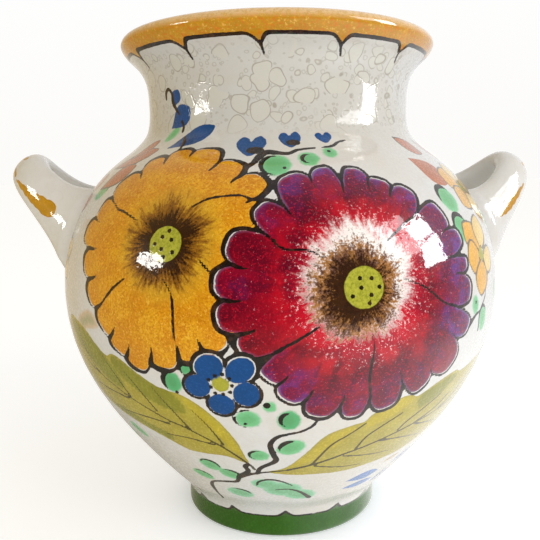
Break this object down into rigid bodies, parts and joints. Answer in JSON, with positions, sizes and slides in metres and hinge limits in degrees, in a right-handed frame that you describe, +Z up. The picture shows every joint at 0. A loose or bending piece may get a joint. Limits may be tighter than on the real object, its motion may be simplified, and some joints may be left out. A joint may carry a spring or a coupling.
{
  "type": "two handled vase",
  "caption": "Round-bodied pottery vase with a low foot ring, short flared collar, rolled rim and two upswept lug handles, painted with flowers.",
  "frame": {"origin": "middle of the face that the foot ring stands on", "axes": "+Z up along the axis the body was turned about; the handles are on the X axis, and the front of the painting faces -Y"},
  "size_m": [0.2772, 0.228, 0.25],
  "materials": {
    "body_glaze": "gloss tin-white glaze with painted flowers",
    "foot_glaze": "gloss green painted band, bare clay where it stands",
    "rim_glaze": "gloss ochre painted band",
    "handle_glaze": "gloss tin-white glaze with ochre brush strokes"
  },
  "bodies": {
    "root": {"foot_ring": "foot_glaze", "lower_bowl": "body_glaze", "shoulder": "body_glaze", "neck_collar": "body_glaze", "rolled_rim": "rim_glaze", "handle_left": "handle_glaze", "handle_right": "handle_glaze"}
  },
  "joints": []
}
